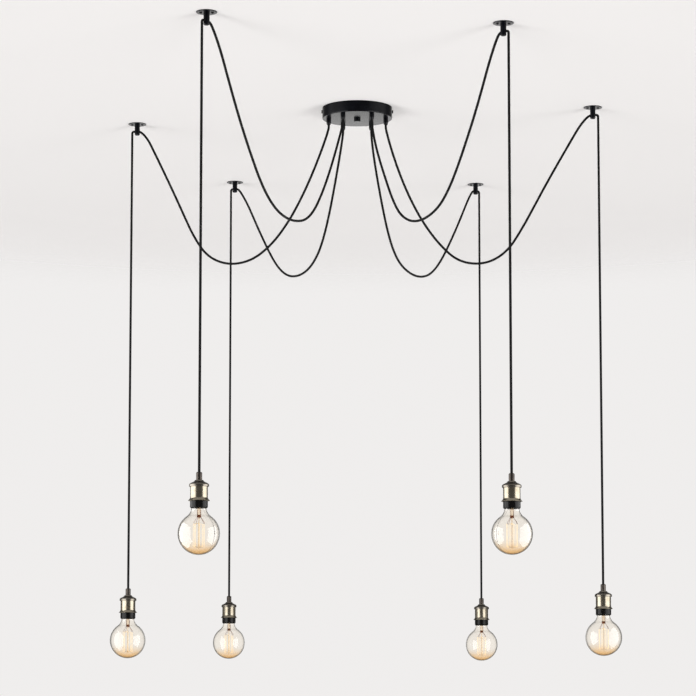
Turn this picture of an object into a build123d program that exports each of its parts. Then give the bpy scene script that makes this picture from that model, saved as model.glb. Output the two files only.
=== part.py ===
import os
from math import atan2, cos, degrees, hypot, pi, radians, sin, sqrt, tan

from build123d import *

os.makedirs("parts", exist_ok=True)

# Spider pendant light: a round ceiling canopy feeds six cords. Each cord swags out to a hook on the
# ceiling, passes through the hook's post and drops to a brass lampholder with a globe bulb.
# The frame stands on the ceiling plane at the canopy's centre, +Z up, sizes in millimetres.

# Ceiling canopy, a shallow metal cup with its rim on the ceiling
canopy_radius = 92.0
canopy_height = 29.0
canopy_wall = 1.5
canopy_edge_radius = 2.5

# Strap bracket inside the canopy, with a turned-down leg at each end for the side screws
bracket_width = 22.0
bracket_thickness = 2.0
bracket_leg_length = 17.0
bracket_leg_gap = 0.4
bracket_bend_radius = 3.0
bracket_hole_radius = 2.6
bracket_hole_spacing = 90.0

# Side screws that hold the canopy to the bracket
side_screw_radius = 2.0
side_screw_clearance = 0.15
side_screw_reach = 5.0
side_screw_level = 10.0
side_screw_head_radius = 4.2
side_screw_head_length = 2.4
side_screw_slot_width = 1.0
side_screw_slot_depth = 1.0

# Round cord, and the room that bores leave round it
cord_radius = 3.0
cord_clearance = 0.3
cord_end_gap = 0.3
cord_arc_share = 0.45

# Cord grips in a ring under the canopy, each held by a nut inside
grip_inset = 17.0
grip_radius = 6.2
grip_length = 16.0
grip_taper_length = 5.5
grip_tip_radius = 4.7
grip_slit_width = 0.9
grip_slit_depth = 7.0
grip_thread_radius = 4.9
grip_thread_clearance = 0.25
grip_thread_above_nut = 2.0
nut_height = 3.0
nut_corner_radius = 8.1
cord_tail = 7.0
cord_exit_drop = 12.0

# Blanking cap over the canopy's centre hole
cap_radius = 8.5
cap_length = 7.5
cap_edge_radius = 1.2
cap_stem_radius = 4.8
cap_stem_clearance = 0.2
cap_stem_above_floor = 3.0

# Terminal block under the bracket, with three leads from each cord
block_length = 54.0
block_width = 20.0
block_height = 15.0
block_edge_radius = 1.5
block_well_radius = 2.4
block_well_depth = 3.0
block_well_pitch = 8.4
block_well_count = 6
lead_radius = 0.75
lead_pitch = 1.75
lead_bend_radius = 2.5
lead_level = 9.5
lead_entry = 18.0
lead_entry_run = 6.0

# Ceiling hooks: a round plate, a post with a cross hole, two wood screws and a clamp screw
plate_radius = 24.0
plate_thickness = 2.0
plate_edge_radius = 0.7
post_radius = 7.0
post_length = 29.0
post_tip_radius = 3.0
post_spigot_radius = 3.0
post_spigot_clearance = 0.2
hook_hole_level = 20.5
hook_hole_clearance = 1.1
hook_screw_spacing = 27.0
hook_screw_radius = 1.8
hook_screw_neck_radius = 2.1
hook_screw_clearance = 0.25
hook_screw_length = 24.0
hook_screw_point = 4.0
hook_screw_head_radius = 3.4
hook_screw_head_height = 2.2
hook_screw_slot_width = 0.9
hook_screw_slot_depth = 0.9
clamp_screw_radius = 2.4
clamp_screw_clearance = 0.15
clamp_screw_recess = 0.4
clamp_screw_socket_radius = 1.4
clamp_screw_socket_depth = 2.5

# Cord over the hook: the swag's mouth point, and the bend down to the swing point
mouth_reach = 10.0
bend_reach = 14.0
bend_radius = 8.0
bend_tail = 4.0

# Globe bulb: sphere, hollow shoulder, neck and the seat cemented into the base
globe_radius = 47.5
globe_shoulder_radius = 25.0
neck_radius = 16.6
neck_length = 1.0
glass_wall = 1.0
glass_seat_rise = 2.1
glass_seat_length = 7.0

# Screw base of the bulb
base_radius = 13.1
base_wall = 1.0
base_gap = 0.6
base_length = 25.0
base_thread_pitch = 3.6
base_thread_turns = 6
base_thread_depth = 0.8
insulator_radius = 5.4
insulator_height = 3.6
tip_radius = 4.4
tip_top_radius = 2.6
tip_height = 2.0

# Stem and squirrel-cage filament inside the bulb, heights and drops counted from the globe's centre
stem_flare_clearance = 0.3
stem_flare_length = 12.0
stem_flare_lip = 4.0
stem_press_radius = 4.0
stem_press_height = 36.5
stem_rod_radius = 1.5
stem_end_drop = 33.5
cage_radius = 12.5
cage_top_height = 22.5
cage_bottom_drop = 29.5
cage_turn = 10.0
strand_count = 8
strand_radius = 0.45
strand_bend_radius = 2.2
strand_gap = 0.3
anchor_radius = 0.35

# Lampholder: black insert with a collar, brass shell with a flared rim, domed cap and cord collet
collar_wall = 2.4
collar_drop = 6.6
collar_height = 17.0
collar_chamfer = 2.2
mouth_clearance = 1.0
mouth_depth = 8.5
socket_clearance = 0.3
socket_roof = 6.0
insert_clearance = 0.3
shell_radius = 19.8
shell_wall = 0.8
flare_reach = 4.7
flare_height = 7.8
shell_height = 30.7
dome_rim_wall = 2.3
dome_rim_height = 5.0
dome_height = 14.9
dome_top_radius = 8.2
dome_wall = 1.2
collet_radius = 6.8
collet_length = 18.0
collet_chamfer = 1.6
collet_thread_radius = 4.9
collet_thread_length = 6.0
contact_radius = 5.0
contact_stem_radius = 2.6
contact_head_height = 1.4
contact_gap = 0.3

# Each pendant: its hook in plan, the bearing of the hook's cross hole and of its cord grip, the bulb's
# lowest level, and the swag's points as (distance out from the grip, level)
pendants = [
    {
        "hook": (-346.0, -962.0),
        "bearing": 225.0,
        "grip": 240.0,
        "bulb": -1234.0,
        "swag": [
            (33, -105), (78, -168), (124, -226), (172, -279), (226, -328), (287, -362),
            (356, -378), (426, -383), (496, -376), (563, -353), (622, -317), (675, -273),
            (727, -227), (776, -178), (823, -127), (869, -75), (911, -38.5),
        ],
    },
    {
        "hook": (333.0, -866.0),
        "bearing": 325.0,
        "grip": 300.0,
        "bulb": -1228.0,
        "swag": [
            (22, -109), (60, -168), (103, -225), (147, -281), (199, -330), (264, -360),
            (334, -373), (404, -372), (473, -359), (535, -327), (590, -283), (641, -235),
            (690, -186), (736, -134), (780, -80), (818, -41),
        ],
    },
    {
        "hook": (-594.0, 191.0),
        "bearing": 166.0,
        "grip": 180.0,
        "bulb": -1439.0,
        "swag": [
            (19, -109), (46, -173), (77, -236), (114, -298), (160, -354), (217, -394),
            (284, -402), (345, -376), (386, -318), (417, -253), (448, -189), (480, -125),
            (508, -70), (522, -44),
        ],
    },
    {
        "hook": (619.0, -9.0),
        "bearing": 0.0,
        "grip": 0.0,
        "bulb": -1437.0,
        "swag": [
            (15, -113), (37, -179), (64, -244), (97, -306), (139, -364), (190, -411),
            (258, -418), (316, -386), (357, -322), (392, -257), (425, -196), (462, -131),
            (494, -76), (510, -49),
        ],
    },
    {
        "hook": (-363.0, 981.0),
        "bearing": 148.0,
        "grip": 120.0,
        "bulb": -1425.0,
        "swag": [
            (24, -105), (59, -166), (96, -226), (138, -284), (190, -335), (254, -365),
            (323, -377), (393, -376), (462, -365), (527, -342), (589, -308), (646, -267),
            (701, -223), (756, -178), (810, -131), (862, -87), (908, -54), (935, -36),
        ],
    },
    {
        "hook": (361.0, 1012.0),
        "bearing": 38.0,
        "grip": 60.0,
        "bulb": -1430.0,
        "swag": [
            (18, -107), (52, -167), (90, -225), (133, -283), (184, -332), (247, -362),
            (316, -373), (386, -375), (456, -368), (524, -352), (588, -325), (648, -290),
            (706, -249), (761, -206), (815, -163), (868, -118), (917, -75), (962, -39),
        ],
    },
]

# Levels and radii that follow from the sizes above
canopy_floor = canopy_wall - canopy_height
bore_radius = cord_radius + cord_clearance
grip_ring_radius = canopy_radius - grip_inset
hook_hole_radius = cord_radius + hook_hole_clearance
grip_end = -canopy_height - grip_length
grip_thread_top = canopy_floor + nut_height + grip_thread_above_nut
swag_top = grip_thread_top + cord_tail
leg_face = sqrt((canopy_radius - canopy_wall) ** 2 - (bracket_width / 2) ** 2) - bracket_leg_gap
block_top = -bracket_thickness
plate_bottom = -plate_thickness
post_bottom = plate_bottom - post_length
bend_end = -hook_hole_level - bend_radius - bend_tail
swing_level = bend_end - cord_end_gap - cord_radius
shoulder_reach = neck_radius + globe_shoulder_radius
shoulder_level = globe_radius + sqrt((globe_radius + globe_shoulder_radius) ** 2 - shoulder_reach**2)
neck_level = shoulder_level + neck_length
glass_seat_level = neck_level + glass_seat_rise
glass_seat_top = glass_seat_level + glass_seat_length
base_core_radius = base_radius - base_thread_depth
glass_seat_radius = base_core_radius - base_wall
base_level = glass_seat_level + base_gap
base_top = base_level + base_length
stem_press_level = globe_radius + stem_press_height
stem_end_level = globe_radius - stem_end_drop
cage_top_level = globe_radius + cage_top_height
cage_bottom_level = globe_radius - cage_bottom_drop
socket_radius = base_radius + socket_clearance
tip_level = base_top + insulator_height + tip_height
contact_level = tip_level + contact_gap
roof_level = contact_level + contact_head_height
insert_top = roof_level + socket_roof
mouth_radius = neck_radius + mouth_clearance
collar_radius = mouth_radius + collar_wall
collar_level = base_level - collar_drop
collar_top = collar_level + collar_height
flare_radius = shell_radius + flare_reach
rim_bore = shell_radius + insert_clearance
dome_rim_radius = rim_bore + dome_rim_wall
shell_top = collar_top + shell_height + dome_rim_height
dome_level = collar_top + shell_height
dome_top = dome_level + dome_height
collet_top = dome_top + collet_length
grip_places = [
    (grip_ring_radius * cos(radians(p["grip"])), grip_ring_radius * sin(radians(p["grip"])))
    for p in pendants
]
hook_places = [p["hook"] for p in pendants]


def upright(x, y, level):
    # A vertical plane through a piece's own axis: local x is the radius, local y the height.
    return Plane(origin=(x, y, level), x_dir=(1, 0, 0), z_dir=(0, -1, 0))


def vertical_axis(x, y):
    return Axis((x, y, 0), (0, 0, 1))


def hook_point(pendant, reach, level):
    # A point at a distance from the post's axis, along the cross hole, positive on the drop's side.
    x, y = pendant["hook"]
    bearing = radians(pendant["bearing"])
    return (x + reach * cos(bearing), y + reach * sin(bearing), level)


def drop_place(pendant):
    x, y, _ = hook_point(pendant, bend_reach, 0)
    return x, y


def swag_points(pendant, grip_place):
    # Down out of the grip, along the vertical plane towards the hook, then level into the post.
    gx, gy = grip_place
    mouth = hook_point(pendant, -mouth_reach, -hook_hole_level)
    centre = hook_point(pendant, -cord_end_gap / 2, -hook_hole_level)
    span = hypot(mouth[0] - gx, mouth[1] - gy)
    ux, uy = (mouth[0] - gx) / span, (mouth[1] - gy) / span
    start = [(gx, gy, swag_top), (gx, gy, grip_end - cord_exit_drop)]
    middle = [(gx + s * ux, gy + s * uy, level) for s, level in pendant["swag"]]
    return start + middle + [mouth, centre]


def cord_radii(points):
    # Each arc takes its share of the shorter run beside it. In the grip only the stretch below its mouth
    # can bend.
    path = [Vector(*p) for p in points]
    legs = [b - a for a, b in zip(path, path[1:])]
    runs = [leg.length for leg in legs]
    runs[0] = 2 * cord_exit_drop
    radii = []
    for i in range(len(legs) - 1):
        half_turn = radians(legs[i].get_angle(legs[i + 1])) / 2
        radii.append(cord_arc_share * min(runs[i], runs[i + 1]) / tan(half_turn))
    return radii


def write(part, name):
    part.label = name
    export_step(part, f"parts/{name}.step")


# Canopy cup with holes for the grips, the centre cap and the side screws
with BuildPart() as canopy_shell:
    with BuildSketch(Plane.XY):
        Circle(canopy_radius)
    extrude(amount=-canopy_height)
    fillet(canopy_shell.edges().group_by(Axis.Z)[0], canopy_edge_radius)
    offset(amount=-canopy_wall, openings=canopy_shell.faces().sort_by(Axis.Z)[-1])
    with BuildSketch(Plane.XY.offset(-canopy_height)):
        with Locations(*grip_places):
            Circle(grip_thread_radius + grip_thread_clearance)
        Circle(cap_stem_radius + cap_stem_clearance)
    extrude(amount=canopy_wall, mode=Mode.SUBTRACT)
    with BuildSketch(Plane.YZ):
        with Locations((0, -side_screw_level)):
            Circle(side_screw_radius + side_screw_clearance)
    extrude(amount=canopy_radius, both=True, mode=Mode.SUBTRACT)
write(canopy_shell.part, "canopy_shell")

# Bracket: a strap on the ceiling with a leg at each end
with BuildPart() as mounting_bracket:
    with BuildSketch(Plane.XZ):
        with BuildLine():
            Polyline(
                (-leg_face, -bracket_leg_length),
                (-leg_face, 0),
                (leg_face, 0),
                (leg_face, -bracket_leg_length),
                (leg_face - bracket_thickness, -bracket_leg_length),
                (leg_face - bracket_thickness, -bracket_thickness),
                (bracket_thickness - leg_face, -bracket_thickness),
                (bracket_thickness - leg_face, -bracket_leg_length),
                close=True,
            )
        make_face()
    extrude(amount=bracket_width / 2, both=True)
    fillet(mounting_bracket.edges().filter_by(Axis.Y).group_by(Axis.Z)[-1], bracket_bend_radius)
    with BuildSketch(Plane.XY):
        with GridLocations(bracket_hole_spacing, 0, 2, 1):
            Circle(bracket_hole_radius)
    extrude(amount=-bracket_thickness, mode=Mode.SUBTRACT)
    with BuildSketch(Plane.YZ):
        with Locations((0, -side_screw_level)):
            Circle(side_screw_radius + side_screw_clearance)
    extrude(amount=canopy_radius, both=True, mode=Mode.SUBTRACT)
write(mounting_bracket.part, "mounting_bracket")

# Side screws: slotted round heads outside the canopy wall, shanks through wall and leg
with BuildPart() as canopy_side_screws:
    for side in (-1, 1):
        seat = Plane(
            origin=(side * canopy_radius, 0, -side_screw_level), x_dir=(0, 1, 0), z_dir=(side, 0, 0)
        )
        with BuildSketch(seat):
            Circle(side_screw_head_radius)
        extrude(amount=side_screw_head_length)
        with BuildSketch(seat):
            Circle(side_screw_radius)
        extrude(amount=leg_face - canopy_radius - side_screw_reach)
        with BuildSketch(seat.offset(side_screw_head_length)):
            Rectangle(2 * side_screw_head_radius, side_screw_slot_width)
        extrude(amount=-side_screw_slot_depth, mode=Mode.SUBTRACT)
write(canopy_side_screws.part, "canopy_side_screws")

# Cord grips: threaded spigot, body and a slit tapering end
with BuildPart() as cord_grips:
    for x, y in grip_places:
        with BuildSketch(upright(x, y, 0)):
            with BuildLine():
                Polyline(
                    (bore_radius, grip_thread_top),
                    (grip_thread_radius, grip_thread_top),
                    (grip_thread_radius, -canopy_height),
                    (grip_radius, -canopy_height),
                    (grip_radius, grip_end + grip_taper_length),
                    (grip_tip_radius, grip_end),
                    (bore_radius, grip_end),
                    close=True,
                )
            make_face()
        revolve(axis=vertical_axis(x, y))
    with BuildSketch(Plane.XY.offset(grip_end)):
        with Locations(*grip_places):
            Rectangle(2 * grip_radius, grip_slit_width)
            Rectangle(grip_slit_width, 2 * grip_radius)
    extrude(amount=grip_slit_depth, mode=Mode.SUBTRACT)
write(cord_grips.part, "cord_grips")

# Hexagon nuts on the grips' threads, on the canopy's floor
with BuildPart() as cord_grip_nuts:
    with BuildSketch(Plane.XY.offset(canopy_floor)):
        with Locations(*grip_places):
            RegularPolygon(nut_corner_radius, 6)
            Circle(grip_thread_radius + grip_thread_clearance, mode=Mode.SUBTRACT)
    extrude(amount=nut_height)
write(cord_grip_nuts.part, "cord_grip_nuts")

# Centre cap with its stem through the canopy floor
with BuildPart() as centre_cap:
    with BuildSketch(Plane.XY.offset(-canopy_height)):
        Circle(cap_radius)
    extrude(amount=-cap_length)
    fillet(centre_cap.edges().group_by(Axis.Z)[0], cap_edge_radius)
    with BuildSketch(Plane.XY.offset(-canopy_height)):
        Circle(cap_stem_radius)
    extrude(amount=canopy_wall + cap_stem_above_floor)
write(centre_cap.part, "centre_cap")

# Terminal block under the strap, with a row of screw wells below
with BuildPart() as terminal_block:
    with BuildSketch(Plane.XY.offset(block_top)):
        RectangleRounded(block_length, block_width, block_edge_radius)
    extrude(amount=-block_height)
    with BuildSketch(Plane.XY.offset(block_top - block_height)):
        with GridLocations(block_well_pitch, block_width / 2, block_well_count, 2):
            Circle(block_well_radius)
    extrude(amount=block_well_depth, mode=Mode.SUBTRACT)
write(terminal_block.part, "terminal_block")


def lead_points(place, step):
    # Up from the cord's end, over to the block, and square into its side or end face.
    x, y = place
    if abs(y) < block_width / 2:
        side = 1 if x > 0 else -1
        face = side * block_length / 2
        entry = (face + side * lead_entry_run, 2 * step, -lead_level)
        return [(x, y + step, swag_top), (x, y + step, -lead_level), entry, (face, 2 * step, -lead_level)]
    side = 1 if y > 0 else -1
    face = side * block_width / 2
    landing = (lead_entry if x > 0 else -lead_entry) + 2 * step
    entry = (landing, face + side * lead_entry_run, -lead_level)
    return [(x + step, y, swag_top), (x + step, y, -lead_level), entry, (landing, face, -lead_level)]


# Leads from the cords' ends to the terminal block
with BuildPart() as inner_leads:
    for place in grip_places:
        for step in (-lead_pitch, 0, lead_pitch):
            route = lead_points(place, step)
            straight = abs(place[1]) < block_width / 2 and step == 0
            with BuildLine() as lead_path:
                FilletPolyline(*(route[:2] + route[3:] if straight else route), radius=lead_bend_radius)
            with BuildSketch(Plane(origin=route[0], z_dir=(0, 0, 1))):
                Circle(lead_radius)
            sweep(path=lead_path.line)
write(inner_leads.part, "inner_leads")

# Hook plates on the ceiling, with holes for the post's spigot and the two screws
with BuildPart() as hook_plates:
    with BuildSketch(Plane.XY):
        with Locations(*hook_places):
            Circle(plate_radius)
    extrude(amount=-plate_thickness)
    fillet(hook_plates.edges().group_by(Axis.Z)[0], plate_edge_radius)
    with BuildSketch(Plane.XY):
        with Locations(*hook_places):
            Circle(post_spigot_radius + post_spigot_clearance)
            with GridLocations(hook_screw_spacing, 0, 2, 1):
                Circle(hook_screw_neck_radius + hook_screw_clearance)
    extrude(amount=-plate_thickness, mode=Mode.SUBTRACT)
write(hook_plates.part, "hook_plates")

# Hook posts: a spigot in the plate, a cross hole for the cord and a clamp screw's hole from below
with BuildPart() as hook_posts:
    with BuildSketch(Plane.XY.offset(plate_bottom)):
        with Locations(*hook_places):
            Circle(post_radius)
    extrude(amount=-post_length)
    fillet(hook_posts.edges().group_by(Axis.Z)[0], post_tip_radius)
    with BuildSketch(Plane.XY.offset(plate_bottom)):
        with Locations(*hook_places):
            Circle(post_spigot_radius)
    extrude(amount=plate_thickness)
    for pendant in pendants:
        bearing = radians(pendant["bearing"])
        with BuildSketch(
            Plane(
                origin=hook_point(pendant, 0, -hook_hole_level),
                x_dir=(0, 0, 1),
                z_dir=(cos(bearing), sin(bearing), 0),
            )
        ):
            Circle(hook_hole_radius)
        extrude(amount=2 * post_radius, both=True, mode=Mode.SUBTRACT)
    with BuildSketch(Plane.XY.offset(post_bottom)):
        with Locations(*hook_places):
            Circle(clamp_screw_radius + clamp_screw_clearance)
    extrude(amount=-hook_hole_level - post_bottom, mode=Mode.SUBTRACT)
write(hook_posts.part, "hook_posts")

# Wood screws through the plates: domed slotted heads below, threaded shanks up into the ceiling
with BuildPart() as hook_screws:
    for hook_x, hook_y in hook_places:
        for side in (-1, 1):
            x = hook_x + side * hook_screw_spacing / 2
            with BuildSketch(upright(x, hook_y, 0)):
                with BuildLine():
                    Line((0, hook_screw_length + hook_screw_point), (hook_screw_radius, hook_screw_length))
                    Polyline(
                        (hook_screw_radius, hook_screw_length),
                        (hook_screw_radius, 0),
                        (hook_screw_neck_radius, 0),
                        (hook_screw_neck_radius, plate_bottom),
                        (hook_screw_head_radius, plate_bottom),
                        (hook_screw_head_radius, plate_bottom - hook_screw_head_height / 2),
                    )
                    Spline(
                        (hook_screw_head_radius, plate_bottom - hook_screw_head_height / 2),
                        (0, plate_bottom - hook_screw_head_height),
                        tangents=[(-0.4, -1), (-1, 0)],
                    )
                    Line(
                        (0, plate_bottom - hook_screw_head_height),
                        (0, hook_screw_length + hook_screw_point),
                    )
                make_face()
            revolve(axis=vertical_axis(x, hook_y))
            with BuildSketch(Plane.XY.offset(plate_bottom - hook_screw_head_height)):
                with Locations((x, hook_y)):
                    Rectangle(2 * hook_screw_head_radius, hook_screw_slot_width)
            extrude(amount=hook_screw_slot_depth, mode=Mode.SUBTRACT)
write(hook_screws.part, "hook_screws")

# Clamp screws in the posts' lower ends, just under the cord, with a hexagon socket
clamp_top = -hook_hole_level - bore_radius
clamp_bottom = post_bottom + clamp_screw_recess
with BuildPart() as hook_clamp_screws:
    with BuildSketch(Plane.XY.offset(clamp_bottom)):
        with Locations(*hook_places):
            Circle(clamp_screw_radius)
    extrude(amount=clamp_top - clamp_bottom)
    with BuildSketch(Plane.XY.offset(clamp_bottom)):
        with Locations(*hook_places):
            RegularPolygon(clamp_screw_socket_radius, 6)
    extrude(amount=clamp_screw_socket_depth, mode=Mode.SUBTRACT)
write(hook_clamp_screws.part, "hook_clamp_screws")


def make_swag_cord(pendant, grip_place):
    points = swag_points(pendant, grip_place)
    radii = cord_radii(points)
    with BuildPart() as swag_cord:
        with BuildLine() as route:
            FilletPolyline(*points, radius=radii)
        with BuildSketch(Plane(origin=points[0], z_dir=(0, 0, -1))):
            Circle(cord_radius)
        sweep(path=route.line)
    length = route.wire().length
    print("swag length", round(length, 1), "least radius", round(min(radii), 1))
    print("swag radii", [round(r) for r in radii])
    section = pi * cord_radius**2
    print("swag volume over section times length", round(swag_cord.part.volume / (section * length), 5))
    return swag_cord.part


def make_cord_bend(pendant):
    # Level out of the post, then a quarter turn down beside it.
    points = [
        hook_point(pendant, cord_end_gap / 2, -hook_hole_level),
        hook_point(pendant, bend_reach, -hook_hole_level),
        hook_point(pendant, bend_reach, bend_end),
    ]
    bearing = radians(pendant["bearing"])
    with BuildPart() as cord_bend:
        with BuildLine() as route:
            FilletPolyline(*points, radius=bend_radius)
        with BuildSketch(Plane(origin=points[0], z_dir=(cos(bearing), sin(bearing), 0))):
            Circle(cord_radius)
        sweep(path=route.line)
    return cord_bend.part


def make_drop_cord(pendant):
    # Straight under the bulb's weight, from a round end at the swing point to inside the lampholder's dome.
    x, y = drop_place(pendant)
    cord_foot = pendant["bulb"] + dome_top - collet_thread_length - cord_radius
    with BuildPart() as drop_cord:
        with BuildSketch(upright(x, y, 0)):
            with BuildLine():
                CenterArc((0, swing_level), cord_radius, 0, 90)
                Polyline(
                    (0, swing_level + cord_radius),
                    (0, cord_foot),
                    (cord_radius, cord_foot),
                    (cord_radius, swing_level),
                )
            make_face()
        revolve(axis=vertical_axis(x, y))
    print("drop length", round(swing_level + cord_radius - cord_foot, 1))
    return drop_cord.part


def make_lampholder_body(pendant):
    # Collet, domed cap, shell with a flared rim and centre contact: four separate brass pieces.
    x, y = drop_place(pendant)
    bulb = pendant["bulb"]
    thread_end = dome_top - collet_thread_length
    rim_top = dome_level + dome_rim_height
    inner_top = dome_top - dome_wall
    with BuildPart() as collet:
        with BuildSketch(upright(x, y, bulb)):
            with BuildLine():
                Polyline(
                    (bore_radius, thread_end),
                    (collet_thread_radius, thread_end),
                    (collet_thread_radius, dome_top),
                    (collet_radius, dome_top),
                    (collet_radius, collet_top - collet_chamfer),
                    (collet_radius - collet_chamfer, collet_top),
                    (bore_radius, collet_top),
                    close=True,
                )
            make_face()
        revolve(axis=vertical_axis(x, y))
    with BuildPart() as dome:
        with BuildSketch(upright(x, y, bulb)):
            with BuildLine():
                Polyline(
                    (dome_rim_radius, rim_top),
                    (dome_rim_radius, dome_level),
                    (rim_bore, dome_level),
                    (rim_bore, rim_top),
                    (dome_rim_radius - dome_wall, rim_top),
                )
                Spline(
                    (dome_rim_radius - dome_wall, rim_top),
                    (dome_top_radius, inner_top),
                    tangents=[(-0.5, 1), (-0.45, 1)],
                )
                Polyline(
                    (dome_top_radius, inner_top),
                    (collet_thread_radius + grip_thread_clearance, inner_top),
                    (collet_thread_radius + grip_thread_clearance, dome_top),
                    (dome_top_radius + dome_wall, dome_top),
                )
                Spline(
                    (dome_top_radius + dome_wall, dome_top),
                    (dome_rim_radius, rim_top),
                    tangents=[(0.45, -1), (0.5, -1)],
                )
            make_face()
        revolve(axis=vertical_axis(x, y))
    with BuildPart() as shell:
        with BuildSketch(upright(x, y, bulb)):
            with BuildLine():
                Line((shell_radius, shell_top), (shell_radius, collar_top + flare_height))
                Spline(
                    (shell_radius, collar_top + flare_height),
                    (flare_radius, collar_top),
                    tangents=[(0, -1), (0.9, -1)],
                )
                Line((flare_radius, collar_top), (flare_radius - shell_wall, collar_top))
                Spline(
                    (flare_radius - shell_wall, collar_top),
                    (shell_radius - shell_wall, collar_top + flare_height),
                    tangents=[(-0.9, 1), (0, 1)],
                )
                Polyline(
                    (shell_radius - shell_wall, collar_top + flare_height),
                    (shell_radius - shell_wall, shell_top),
                    (shell_radius, shell_top),
                )
            make_face()
        revolve(axis=vertical_axis(x, y))
    with BuildPart() as contact:
        with BuildSketch(upright(x, y, bulb)):
            with BuildLine():
                Polyline(
                    (0, contact_level),
                    (contact_radius, contact_level),
                    (contact_radius, roof_level),
                    (contact_stem_radius, roof_level),
                    (contact_stem_radius, insert_top),
                    (0, insert_top),
                    close=True,
                )
            make_face()
        revolve(axis=vertical_axis(x, y))
    pieces = (collet, dome, shell, contact)
    return Compound(children=[solid for piece in pieces for solid in piece.part.solids()])


def make_holder_insert(pendant):
    # Black insert: a collar below the brass shell, a screw socket inside and a roof for the contact.
    x, y = drop_place(pendant)
    insert_radius = shell_radius - shell_wall - insert_clearance
    with BuildPart() as holder_insert:
        with BuildSketch(upright(x, y, pendant["bulb"])):
            with BuildLine():
                Polyline(
                    (mouth_radius, collar_level),
                    (collar_radius - collar_chamfer, collar_level),
                    (collar_radius, collar_level + collar_chamfer),
                    (collar_radius, collar_top),
                    (insert_radius, collar_top),
                    (insert_radius, insert_top),
                    (contact_stem_radius + insert_clearance, insert_top),
                    (contact_stem_radius + insert_clearance, roof_level),
                    (socket_radius, roof_level),
                    (socket_radius, collar_level + mouth_depth),
                    (mouth_radius, collar_level + mouth_depth),
                    close=True,
                )
            make_face()
        revolve(axis=vertical_axis(x, y))
    return holder_insert.part


def globe_outline(inset):
    # Half outline of the globe: sphere, hollow shoulder arc, neck and the seat inside the base.
    sphere = globe_radius - inset
    shoulder = globe_shoulder_radius + inset
    lean = degrees(atan2(shoulder_level - globe_radius, shoulder_reach))
    seat = glass_seat_radius - inset
    CenterArc((0, globe_radius), sphere, -90, 90 + lean)
    CenterArc((shoulder_reach, shoulder_level), shoulder, 180 + lean, -lean)
    Polyline(
        (neck_radius - inset, shoulder_level),
        (neck_radius - inset, neck_level),
        (seat, glass_seat_level),
        (seat, glass_seat_top),
        (0, glass_seat_top),
        (0, globe_radius - sphere),
    )


def make_bulb_glass(pendant):
    x, y = drop_place(pendant)
    with BuildPart() as bulb_glass:
        with BuildSketch(upright(x, y, pendant["bulb"])):
            with BuildLine():
                globe_outline(0)
            make_face()
        revolve(axis=vertical_axis(x, y))
        with BuildSketch(upright(x, y, pendant["bulb"])):
            with BuildLine():
                globe_outline(glass_wall)
            make_face()
        revolve(axis=vertical_axis(x, y), mode=Mode.SUBTRACT)
    return bulb_glass.part


def make_bulb_base(pendant):
    # Thin screw shell with rounded ridges, the dark insulator on top of it and the tip contact.
    x, y = drop_place(pendant)
    thread_start = base_level + (base_length - base_thread_turns * base_thread_pitch) / 2
    with BuildPart() as bulb_base:
        with BuildSketch(upright(x, y, pendant["bulb"])):
            with BuildLine():
                Polyline(
                    (base_core_radius, thread_start),
                    (base_core_radius, base_level),
                    (glass_seat_radius, base_level),
                    (glass_seat_radius, base_top),
                    (base_core_radius, base_top),
                    (base_core_radius, thread_start + base_thread_turns * base_thread_pitch),
                )
                for turn in range(base_thread_turns):
                    foot = thread_start + turn * base_thread_pitch
                    ThreePointArc(
                        (base_core_radius, foot),
                        (base_radius, foot + base_thread_pitch / 2),
                        (base_core_radius, foot + base_thread_pitch),
                    )
            make_face()
        revolve(axis=vertical_axis(x, y))
        with BuildSketch(upright(x, y, pendant["bulb"])):
            with BuildLine():
                Polyline(
                    (0, base_top),
                    (base_core_radius, base_top),
                    (insulator_radius, base_top + insulator_height),
                    (0, base_top + insulator_height),
                    close=True,
                )
            make_face()
        insulator = revolve(axis=vertical_axis(x, y), mode=Mode.PRIVATE)
        with BuildSketch(upright(x, y, pendant["bulb"])):
            with BuildLine():
                Polyline(
                    (0, base_top + insulator_height),
                    (tip_radius, base_top + insulator_height),
                    (tip_top_radius, tip_level),
                    (0, tip_level),
                    close=True,
                )
            make_face()
        tip = revolve(axis=vertical_axis(x, y), mode=Mode.PRIVATE)
    return Compound(children=[*bulb_base.part.solids(), *insulator.solids(), *tip.solids()])


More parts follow.
